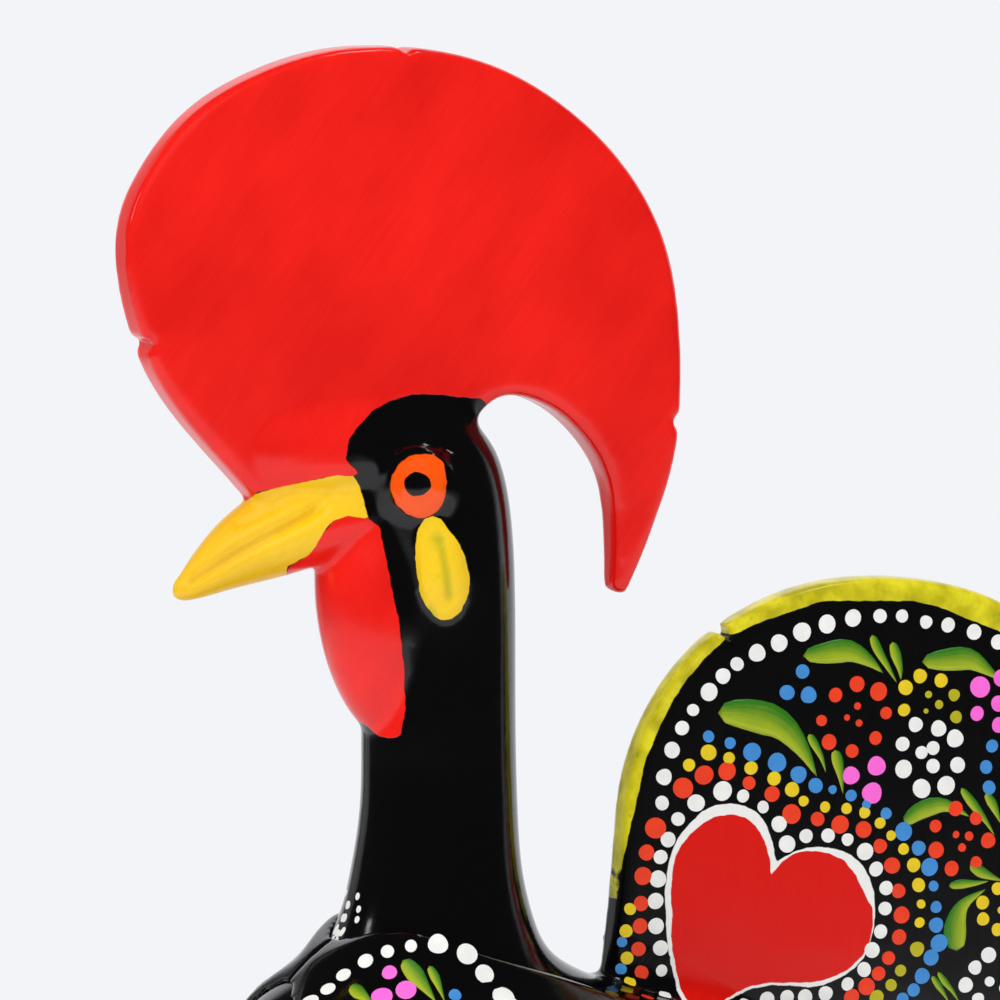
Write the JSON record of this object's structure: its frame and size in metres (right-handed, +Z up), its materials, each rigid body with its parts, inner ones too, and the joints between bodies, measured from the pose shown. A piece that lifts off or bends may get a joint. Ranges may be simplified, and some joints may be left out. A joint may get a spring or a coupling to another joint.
{
  "type": "rooster of barcelos",
  "caption": "Painted rooster ornament with a tall comb, round tail fan and curved wings, standing on two legs on a bell base.",
  "frame": {"origin": "centre of the felt's underside, on the surface that the rooster stands on", "axes": "+Z up; the rooster faces -X, its left side is towards -Y"},
  "size_m": [0.1952, 0.122, 0.4001],
  "materials": {
    "black_enamel": "gloss black enamel, brushed on cast aluminium",
    "red_enamel": "gloss red enamel, brushed on cast aluminium",
    "yellow_enamel": "gloss yellow enamel, brushed on cast aluminium",
    "felt": "green wool felt",
    "zinc_steel": "zinc plated steel",
    "aluminium_pin": "drawn aluminium pin"
  },
  "bodies": {
    "root": {"left_body_half": "black_enamel", "right_body_half": "black_enamel", "comb": "red_enamel", "beak": "yellow_enamel", "wattle": "red_enamel", "left_wing": "black_enamel", "right_wing": "black_enamel", "tail_fan": "black_enamel", "left_leg": "yellow_enamel", "right_leg": "yellow_enamel", "base_bell": "black_enamel", "felt_pad": "felt", "leg_rods": "zinc_steel", "rod_washers": "zinc_steel", "rod_nuts": "zinc_steel", "seam_pins": "aluminium_pin", "comb_pins": "aluminium_pin", "tail_rivets": "aluminium_pin", "wing_rivets": "aluminium_pin"}
  },
  "joints": []
}
